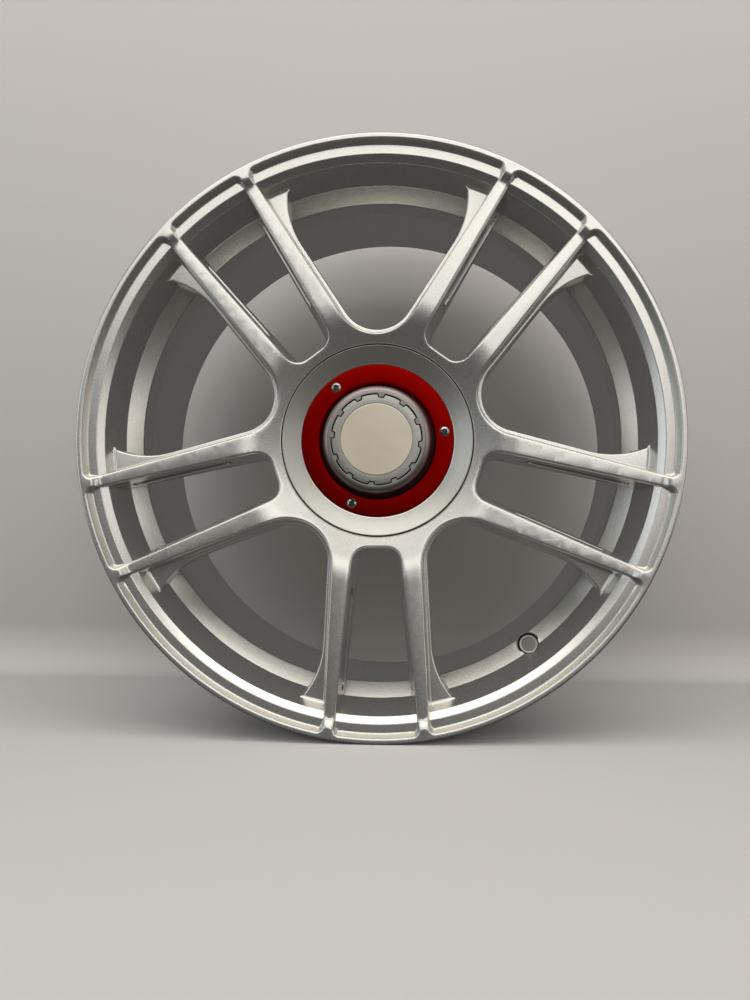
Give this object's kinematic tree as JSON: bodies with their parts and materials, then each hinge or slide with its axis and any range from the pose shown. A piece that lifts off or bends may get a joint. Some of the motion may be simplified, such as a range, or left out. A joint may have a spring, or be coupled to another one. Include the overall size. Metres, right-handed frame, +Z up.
{
  "type": "car wheel",
  "caption": "Cast alloy car wheel with paired straight spokes, winged windows behind a stepped lip, an empty valve hole and a dished hub cover with a red ring and a plain cap.",
  "frame": {"origin": "centre of the mounting face that meets the car's hub", "axes": "+Y inboard along the wheel's axis towards the car, -Y outboard, +Z up as pictured, +X to the right seen from the front"},
  "size_m": [0.4715, 0.2266, 0.4716],
  "materials": {
    "silver_paint": "satin silver paint with a clear coat over cast aluminium",
    "cover_paint": "satin silver paint over moulded plastic",
    "red_anodised": "deep red anodised, satin",
    "dark_steel": "dark steel, slightly worn",
    "grey_anodised": "polished grey anodised",
    "cap_silver": "satin silver paint",
    "cream_disc": "pale pearl, satin",
    "spring_steel": "plain spring steel"
  },
  "bodies": {
    "root": {"wheel": "silver_paint", "hub_cover": "cover_paint", "trim_ring": "red_anodised", "ring_screws": "dark_steel", "lock_collar": "grey_anodised", "centre_cap": "cap_silver", "cap_disc": "cream_disc", "clip_spring": "spring_steel"}
  },
  "joints": []
}
